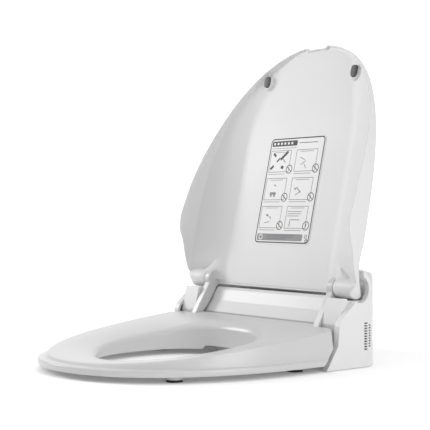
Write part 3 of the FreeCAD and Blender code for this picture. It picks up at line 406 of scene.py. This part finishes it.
def seat_radius(angle, half, wide, tip):
    """Distance from the ring's middle to its outside, in that direction."""
    cx, cy = math.sin(angle), -math.cos(angle)

    def inside(radius):
        x, y = abs(cx) * radius, SEAT_Y + cy * radius
        if y > wide:
            return x <= half and y <= rear_limit(x)
        t = (wide - y) / (wide - tip)
        return t < 1 and x <= half * (1 - t ** 2.5) ** (1 / 2.1)
    return largest(inside, 400.0)


def hole_radius(angle):
    """Distance from the ring's middle to the edge of its opening, squarer at the rear."""
    cx, cy = abs(math.sin(angle)), -math.cos(angle)
    reach, power = (HOLE_FRONT, 2.1) if cy < 0 else (HOLE_REAR, 2.6)

    def inside(radius):
        return (cx * radius / HOLE_HALF) ** power + (abs(cy) * radius / reach) ** power <= 1
    return largest(inside, 200.0)


def seat_top_z(y):
    return 20.4 + 0.11 * (y + 418.5)


def seat_section(angle):
    """The ring's section in that direction, from its foot outside, over the top and down the opening's
    wall, and its heating foil's section (None at the rear)."""
    out = Vector((math.sin(angle), -math.cos(angle)))
    upper = seat_radius(angle, EDGE, EDGE_WIDE, EDGE_TIP)
    rim = seat_radius(angle, RIM, RIM_WIDE, RIM_TIP)
    hole = hole_radius(angle)
    span = upper - hole
    rear = ease(out.y, 0.3, 0.95)
    # The dish: how far the top slopes in, how wide its roll into the opening is and how far it falls
    slope, reach, fall = lerp(11.5, 2, rear), lerp(11, 18, rear), lerp(5, 14, rear)

    def at(radius, height, wall=False):
        x, y = out.x * radius, SEAT_Y + out.y * radius
        if abs(x) < 85 and y > -126:     # room for the nozzles under the ring's rear
            height = max(height, 14 if wall else 38.5)
        if abs(x) > 180 and height < 36:  # clear of the side panels' sloping front edge
            y = min(y, height - 125.5)
        return (x, y, height)

    def top(share):
        radius = lerp(upper, hole, share)
        roll = clamp((share * span - (span - reach)) / reach)
        dish = slope * clamp(share) ** 1.7 + fall * (1 - math.sqrt(1 - 0.95 * roll * roll))
        return at(radius, seat_top_z(SEAT_Y + out.y * radius) - dish)

    edge_z = seat_top_z(SEAT_Y + out.y * upper)
    section = [at(rim - 3, 8), at(rim - 0.8, 8.3), at(rim, 9.6), at(rim, 15.6), at(rim - 0.5, 16.6),
               at(rim - 1.6, 17.1), at(max(upper + 0.6, rim - 6), SIDE_FOOT - 0.2)]
    section += [at(upper - 3.2 * share, lerp(SIDE_FOOT, edge_z - 2, share))
                for share in (0.1, 0.35, 0.6, 0.82)]
    section += [at(upper - 4.0, edge_z - 0.9), at(upper - 5.2, edge_z - 0.2)]
    section += [top(lerp(9, span - reach, share) / span) for share in (0.0, 0.35, 0.7)]
    section += [top((span - reach + reach * share) / span)
                for share in (0.0, 0.15, 0.3, 0.45, 0.58, 0.7, 0.8, 0.88, 0.94, 0.98, 1.0)]
    section += [at(hole, max(top(1.0)[2] - 3, WALL_FOOT + 0.4), True), at(hole, WALL_FOOT, True),
                at(hole + 0.6, 8.6, True), at(hole + 2, 8, True), at(hole + 3.2, 8.05)]
    if out.y >= 0.35:
        return section, None
    places = [lerp(9, span - 12, j / 8) for j in range(9)]
    foil = [at(upper - d, top(d / span)[2] - FOIL_TOP) for d in places]
    foil += [at(upper - d, top(d / span)[2] - FOIL_UNDER) for d in reversed(places)]
    return section, foil


def make_seat():
    """The ring in one piece, and the heating foil under its top, open at the rear."""
    sections, foil = [], []
    for k in range(SEAT_SECTIONS):
        angle = 2 * math.pi * k / SEAT_SECTIONS
        section, foil_section = seat_section(angle)
        sections.append(section)
        if foil_section:
            foil.append((angle if angle < math.pi else angle - 2 * math.pi, foil_section))
    foil = [section for _, section in sorted(foil)]
    solid("seat_foil", joined(foil), closed_tube_faces(len(foil), len(foil[0])), FOIL, "seat",
          "heating_foil", ("seat_heater",))
    return solid("seat_ring", joined(sections), torus_faces(len(sections), len(sections[0])), SEAT_WHITE,
                 "seat", "white_seat", ("seat_top", "seat_bottom"))


ARM_INNER, ARM_OUTER = 136.8, 149.1
ARM_ROUND = 14.3                    # radius of the arm's end round the hinge line


def make_arms():
    """The seat's two arms: a round end on the hinge line, a neck, and a foot inside the ring."""
    neck = [(-34.5, 101.5), (-40.5, 97.2), (-47, 87), (-53, 77), (-59, 69), (-67, 60), (-67, 46),
            (-88, 44), (-85, 56)]
    turns = [math.radians(205 - 17.5 * step) for step in range(13)]
    outline = [(HINGE_Y + ARM_ROUND * math.cos(turn), HINGE_Z + ARM_ROUND * math.sin(turn))
               for turn in turns] + neck
    for side, sign in (("right", 1), ("left", -1)):
        near, far = sorted((sign * ARM_INNER, sign * ARM_OUTER))
        rings = [[(x, y, z) for y, z in outline] for x in (near, far)]
        arm = solid("seat_arm_" + side, joined(rings), closed_tube_faces(2, len(outline)), SEAT_WHITE,
                    "seat", "white_seat", angle=30)
        bevel(arm, 1.6)


# ------------------------------------------------------------------ lid label and bumpers

LABEL_HALF, LABEL_TOP, LABEL_FOOT, LABEL_FACE = 64.0, 236.0, 62.0, -5.6
LABEL_WIDTH, LABEL_HEIGHT = 2 * LABEL_HALF, LABEL_TOP - LABEL_FOOT
INK_LOW, INK_HIGH = 0.02, 0.12       # the printed marks stand this far off the film


def on_label(u, v, lift):
    """A point of the label: u from its left edge, v down from its top, both 0 to 1."""
    return in_lid(lerp(-LABEL_HALF, LABEL_HALF, u), lerp(LABEL_TOP, LABEL_FOOT, v), LABEL_FACE + lift)


def plate_of(outline, low=INK_LOW, high=INK_HIGH):
    """Points and faces of a flat piece on the label, from an outline in u and v."""
    points = [on_label(u, v, lift) for lift in (low, high) for u, v in outline]
    return points, closed_tube_faces(2, len(outline))


def band_of(outer, inner, high=INK_HIGH):
    """Points and faces of a closed flat band between two outlines of equal length."""
    rings = ((outer, INK_LOW), (outer, high), (inner, high), (inner, INK_LOW))
    points = [on_label(u, v, lift) for ring, lift in rings for u, v in ring]
    return points, ring_band_faces(len(outer))


def ring_band_faces(count):
    """The four strips of a band, each closed round, the last joined to the first."""
    return tube_faces(4, count) + [(3 * count + k, 3 * count + (k + 1) % count, (k + 1) % count, k)
                                   for k in range(count)]


def rounded_box(u0, v0, u1, v1, radius, steps=5):
    """A rounded rectangle in u and v, with its corner radius in millimetres."""
    ru, rv = radius / LABEL_WIDTH, radius / LABEL_HEIGHT
    outline = []
    for cu, cv, start in ((u1 - ru, v1 - rv, 0), (u0 + ru, v1 - rv, 90),
                          (u0 + ru, v0 + rv, 180), (u1 - ru, v0 + rv, 270)):
        for k in range(steps + 1):
            turn = math.radians(start + 90 * k / steps)
            outline.append((cu + ru * math.cos(turn), cv + rv * math.sin(turn)))
    return outline


def frame_band(u0, v0, u1, v1, radius, line):
    """A rounded frame, its line's width in millimetres."""
    lu, lv = line / LABEL_WIDTH, line / LABEL_HEIGHT
    return band_of(rounded_box(u0, v0, u1, v1, radius),
                   rounded_box(u0 + lu, v0 + lv, u1 - lu, v1 - lv, max(radius - line, 0.2)))


def ring_band(u, v, radius, line, count=28):
    """A round ring, its radius and its line's width in millimetres."""
    def circle(size):
        turns = [2 * math.pi * k / count for k in range(count)]
        return [(u + size * math.cos(turn) / LABEL_WIDTH, v + size * math.sin(turn) / LABEL_HEIGHT)
                for turn in turns]
    return band_of(circle(radius), circle(radius - line), 0.14)


def stroke(u, v, length, width, degrees=0):
    """A short bar centred on a point of the label; length and width in millimetres."""
    turn = math.radians(degrees)
    outline = []
    for a, b in ((-1, -1), (1, -1), (1, 1), (-1, 1)):
        x, y = a * length / 2, b * width / 2
        outline.append((u + (x * math.cos(turn) - y * math.sin(turn)) / LABEL_WIDTH,
                        v + (x * math.sin(turn) + y * math.cos(turn)) / LABEL_HEIGHT))
    return plate_of(outline)


def print_on_label(name, parts, material):
    """Marks of one ink, joined into one piece."""
    points, faces = [], []
    for more_points, more_faces in parts:
        start = len(points)
        points += more_points
        faces += [tuple(start + k for k in face) for face in more_faces]
    return solid(name, points, faces, material, "lid", "label_film")


# Strokes of the generic pictures in the six boxes: u, v, length, width, degrees
DARK_STROKES = ((0.12, 0.165, 8, 4, 40), (0.30, 0.175, 20, 4.5, -40), (0.20, 0.215, 9, 3, -40),
                (0.10, 0.285, 9, 4, -40), (0.29, 0.285, 6, 5, 20), (0.31, 0.225, 9, 1.2, 40))
SOFT_STROKES = ((0.20, 0.53, 14, 4, 0), (0.17, 0.545, 4, 6, 0), (0.23, 0.545, 4, 6, 0),
                (0.22, 0.455, 5, 2, 30), (0.66, 0.50, 14, 1.6, 40), (0.66, 0.53, 12, 1.4, -30),
                (0.60, 0.49, 4, 3, 0), (0.64, 0.21, 12, 1.2, 20), (0.66, 0.25, 12, 1.2, -30),
                (0.70, 0.28, 9, 1.2, 50), (0.17, 0.735, 6, 3, 20), (0.23, 0.755, 5, 2, 50),
                (0.18, 0.80, 12, 1.2, -10), (0.66, 0.70, 32, 1.0, 0), (0.66, 0.72, 30, 1.0, 0),
                (0.64, 0.74, 26, 1.0, 0), (0.68, 0.775, 22, 1.4, 0), (0.60, 0.81, 2, 9, 0))


def make_label():
    """A film with plain bars, six framed boxes and ring marks; nothing on it can be read."""
    solid("label_sheet", *plate_of(rounded_box(0, 0, 1, 1, 8), -0.45, 0.0), LABEL, "lid", "label_film",
          ("lid_label",))
    dark = [frame_band(0.012, 0.01, 0.988, 0.99, 7, 1.9),
            plate_of(rounded_box(0.04, 0.035, 0.50, 0.085, 2)),
            stroke(0.70, 0.062, 42, 1.0)]
    soft = [stroke(0.27, 0.105, 58, 0.8)]
    fine = []
    for row in range(3):
        for column in range(2):
            u0, v0 = 0.045 + 0.47 * column, 0.125 + 0.262 * row
            u1, v1 = u0 + 0.375, v0 + 0.205
            fine.append(frame_band(u0, v0, u1, v1, 1, 0.75))
            soft.append(stroke((u0 + u1) / 2 - 0.03, v1 + 0.018, 38, 0.9))
            soft.append(stroke((u0 + u1) / 2, v0 + 0.018, 30, 0.8))
            ru, rv = u1 + 0.005, v1 - 0.025
            dark.append(ring_band(ru, rv, 7.2, 1.15))
            if (row, column) == (2, 1):
                dark += [stroke(ru, rv - 0.008, 5, 1.4, 90), stroke(ru, rv + 0.02, 1.4, 1.4)]
            else:
                dark.append(stroke(ru, rv, 12.5, 1.2, 38))
    dark += [stroke(*mark) for mark in DARK_STROKES]
    soft += [stroke(*mark) for mark in SOFT_STROKES]
    for v, length in ((0.92, 66), (0.936, 60), (0.952, 48)):
        end = 0.22 + length / LABEL_WIDTH
        fine.append(plate_of([(0.22, v - 0.003), (end, v - 0.003), (end, v + 0.003), (0.22, v + 0.003)],
                             0.1, 0.16))
    soft.append(plate_of(rounded_box(0.045, 0.905, 0.87, 0.968, 3), INK_LOW, 0.10))
    dark += [ring_band(0.925, 0.925, 3.0, 0.9, 16), ring_band(0.945, 0.965, 3.0, 1.4, 16)]
    pale = [stroke(0.085 + 0.064 * k, 0.06, 4.2, 3.6) for k in range(6)]
    pale.append(ring_band(0.115, 0.936, 4.6, 1.5, 20))
    # The pale marks lie on the dark bars, so they stand a little further out
    pale = [([(x, y - 0.12, z) for x, y, z in points], faces) for points, faces in pale]
    for name, marks, ink in (("label_pale_print", pale, LABEL), ("label_print", dark, INK),
                             ("label_soft_print", soft, SOFT_INK), ("label_boxes", fine, FINE_INK)):
        print_on_label(name, marks, ink)


def rounded_block(x, along, half_x, half_along, low, high, shrink):
    """A pad of rounded outline standing on the lid, its top drawn in, its foot within the shell."""
    steps = 24
    rings = []
    for share, inset in ((0.0, -0.5), (0.25, 0), (0.7, shrink * 0.6), (0.88, shrink),
                         (0.97, shrink + 0.8), (1.0, shrink + 2.0)):
        ring = []
        for turn in (2 * math.pi * k / steps for k in range(steps)):
            c, s = math.cos(turn), math.sin(turn)
            here = x + (half_x - inset) * math.copysign(abs(c) ** 0.7, c)
            place = along + (half_along - inset) * math.copysign(abs(s) ** 0.7, s)
            foot = max(low, dome(here, place) + 1.2)
            ring.append(in_lid(here, place, lerp(foot, high, share)))
        rings.append(ring)
    return joined(rings), closed_tube_faces(len(rings), steps)


BUMPER_X = 100


def make_bumpers():
    """Two rubber pads near the lid's tip, each on a white stand."""
    for side, sign in (("right", 1), ("left", -1)):
        points, faces = rounded_block(sign * BUMPER_X, 334, 6.0, 9.5, -6.9, -3.2, 0.4)
        solid("bumper_" + side, points, faces, BUMPER, "lid", "grey_rubber",
              ("lid_bumpers",) if sign > 0 else ())
        points, faces = rounded_block(sign * BUMPER_X, 332, 7.4, 12, -12.5, -6.6, 0.6)
        solid("bumper_stand_" + side, points, faces, LID_WHITE, "lid", "white_lid")


def make_bosses():
    """The lid's hinge knuckles: a short fat barrel each side, run into the lid's flank."""
    turns = [math.radians(15 * k - 75) for k in range(17)]
    outline = [(-BARREL * math.sin(turn), BARREL * math.cos(turn)) for turn in reversed(turns)]
    outline += [(-7.3, -17), (14, -17), (17, -8)]
    stations = ((149.8, 1.6), (150.3, 0.7), (151.6, 0.0), (168.0, 0.0), (184.0, 0.0), (192.5, 0.0))
    for side, sign in (("right", 1), ("left", -1)):
        rings = []
        for x, inset in stations:
            ring = []
            lowest = lerp(-20, 3, clamp((x - 184) / 8.5))   # clear of the side panel at the outer end
            for along, depth in outline:
                reach = math.hypot(along, depth)
                share = max(reach - inset, 0) / reach
                place = max(along * share, lowest)
                ring.append(in_lid(sign * x, place, max(depth * share, dome(x, place) + 1.5)))
            rings.append(ring)
        solid("lid_boss_" + side, joined(rings), closed_tube_faces(len(rings), len(outline)), LID_WHITE,
              "lid", "white_lid")


def make_painted_vent_shade():
    """A black sheet behind the vents, painted shade that darkens the slots; bent to follow the panel's
    corner.
    """
    plan = [(189.4, -38.5), (188.3, -28.0), (184.8, -17.5), (183.8, -17.9), (187.2, -28.4), (188.3, -38.6)]
    points = [(x, y, z) for z in (22, 66) for x, y in plan]
    solid("painted_vent_shade", points, closed_tube_faces(2, len(plan)), BLACK, "housing", "dark_plastic")


make_lid()
make_bosses()
make_label()
make_bumpers()
make_seat()
make_arms()
for node, width in (("upper_cover", 1.0), ("side_panel_right", 0.3), ("side_panel_left", 0.3),
                    ("base_case", 0.8), ("nozzle_cover", 0.8)):
    bevel(nodes[node], width, 2)
# A black sheet behind the vents paints shade into the slots
make_painted_vent_shade()

# ------------------------------------------------------------------ stage, light and camera

FLOOR_HALF = 9                      # metres
GLOW_FROM, GLOW_TO = 0.7, 3.5       # the floor glows more from here to there, so that no horizon shows
GLOW_NEAR, GLOW_FAR = 0.09, 0.32


def floor_paint():
    """Pale paint with a faint glow that grows with the distance from the object."""
    paint = plastic("floor_paint", (0.96, 0.96, 0.96), 0.8, mottle=0.003, relief=0.0)
    tree = paint.node_tree
    shader = tree.nodes["Principled BSDF"]
    shader.inputs["Emission Color"].default_value = (1, 1, 1, 1)
    place = tree.nodes.new("ShaderNodeTexCoord")
    reach = tree.nodes.new("ShaderNodeVectorMath")
    reach.operation = "LENGTH"
    glowing = tree.nodes.new("ShaderNodeMapRange")
    glowing.inputs["From Min"].default_value = GLOW_FROM
    glowing.inputs["From Max"].default_value = GLOW_TO
    glowing.inputs["To Min"].default_value = GLOW_NEAR
    glowing.inputs["To Max"].default_value = GLOW_FAR
    tree.links.new(place.outputs["Object"], reach.inputs[0])
    tree.links.new(reach.outputs["Value"], glowing.inputs["Value"])
    tree.links.new(glowing.outputs["Result"], shader.inputs["Emission Strength"])
    return paint


floor_mesh = bpy.data.meshes.new("floor")
corners = [(x * FLOOR_HALF, y * FLOOR_HALF, 0) for x, y in ((-1, -1), (1, -1), (1, 1), (-1, 1))]
floor_mesh.from_pydata(corners, [], [(0, 1, 2, 3)])
floor = bpy.data.objects.new("floor", floor_mesh)
floor.location.z = -0.0003          # just under the feet, so that no faces coincide
collection.objects.link(floor)
floor_mesh.materials.append(floor_paint())

world = bpy.data.worlds.new("studio")
scene.world = world
world.use_nodes = True
sky = world.node_tree
backing = sky.nodes["Background"]
backing.inputs["Color"].default_value = (1, 1, 1, 1)
heading = sky.nodes.new("ShaderNodeTexCoord")


def glow(direction, start, end, strength):
    """World light that grows smoothly towards a direction; start and end are cosines."""
    dot = sky.nodes.new("ShaderNodeVectorMath")
    dot.operation = "DOT_PRODUCT"
    dot.inputs[1].default_value = Vector(direction).normalized()
    sky.links.new(heading.outputs["Generated"], dot.inputs[0])
    ramp = sky.nodes.new("ShaderNodeMapRange")
    ramp.interpolation_type = "SMOOTHSTEP"
    ramp.inputs["From Min"].default_value = start
    ramp.inputs["From Max"].default_value = end
    ramp.inputs["To Max"].default_value = strength
    sky.links.new(dot.outputs["Value"], ramp.inputs["Value"])
    return ramp.outputs["Result"]


def add_up(*values):
    """The sum of several world node outputs."""
    total = values[0]
    for value in values[1:]:
        plus = sky.nodes.new("ShaderNodeMath")
        plus.operation = "ADD"
        sky.links.new(total, plus.inputs[0])
        sky.links.new(value, plus.inputs[1])
        total = plus.outputs["Value"]
    return total


UP, BACKDROP = (0, 0, 1), (-0.783, 0.622, 0.02)
overhead = glow(UP, 0.25, 0.95, 0.82)
backdrop = glow(BACKDROP, 0.80, 0.93, 1.0)
ambient = glow((0, 0, -1), -1.2, -1.1, 0.34)    # both cosines are below -1, so it is the same all round
sky.links.new(add_up(overhead, backdrop, ambient), backing.inputs["Strength"])


def area_light(name, place, target, size, power):
    """A soft box in metres and watts, turned towards a target."""
    light = bpy.data.lights.new(name, "AREA")
    light.shape = "RECTANGLE"
    light.size, light.size_y = size
    light.energy = power
    made = bpy.data.objects.new(name, light)
    collection.objects.link(made)
    made.location = place
    made.rotation_euler = (Vector(target) - Vector(place)).to_track_quat("-Z", "Y").to_euler()


area_light("left_box", (-2.45, -1.5, 1.25), (0, -0.1, 0.2), (1.0, 1.0), 34)
area_light("right_box", (2.35, -0.1, 0.72), (0, -0.1, 0.15), (1.0, 1.4), 18)

AZIMUTH, PITCH = math.radians(51.513), math.radians(0.312)
camera_data = bpy.data.cameras.new("camera")
camera_data.sensor_width = 36
camera_data.lens = 95.81
camera_data.clip_end = 50
camera = bpy.data.objects.new("camera", camera_data)
camera.location = (1.3325, -1.2128, 0.2254)
look = Vector((-math.sin(AZIMUTH) * math.cos(PITCH), math.cos(AZIMUTH) * math.cos(PITCH),
               -math.sin(PITCH)))
camera.rotation_euler = look.to_track_quat("-Z", "Y").to_euler()
collection.objects.link(camera)
scene.camera = camera
scene.view_settings.view_transform = "Standard"
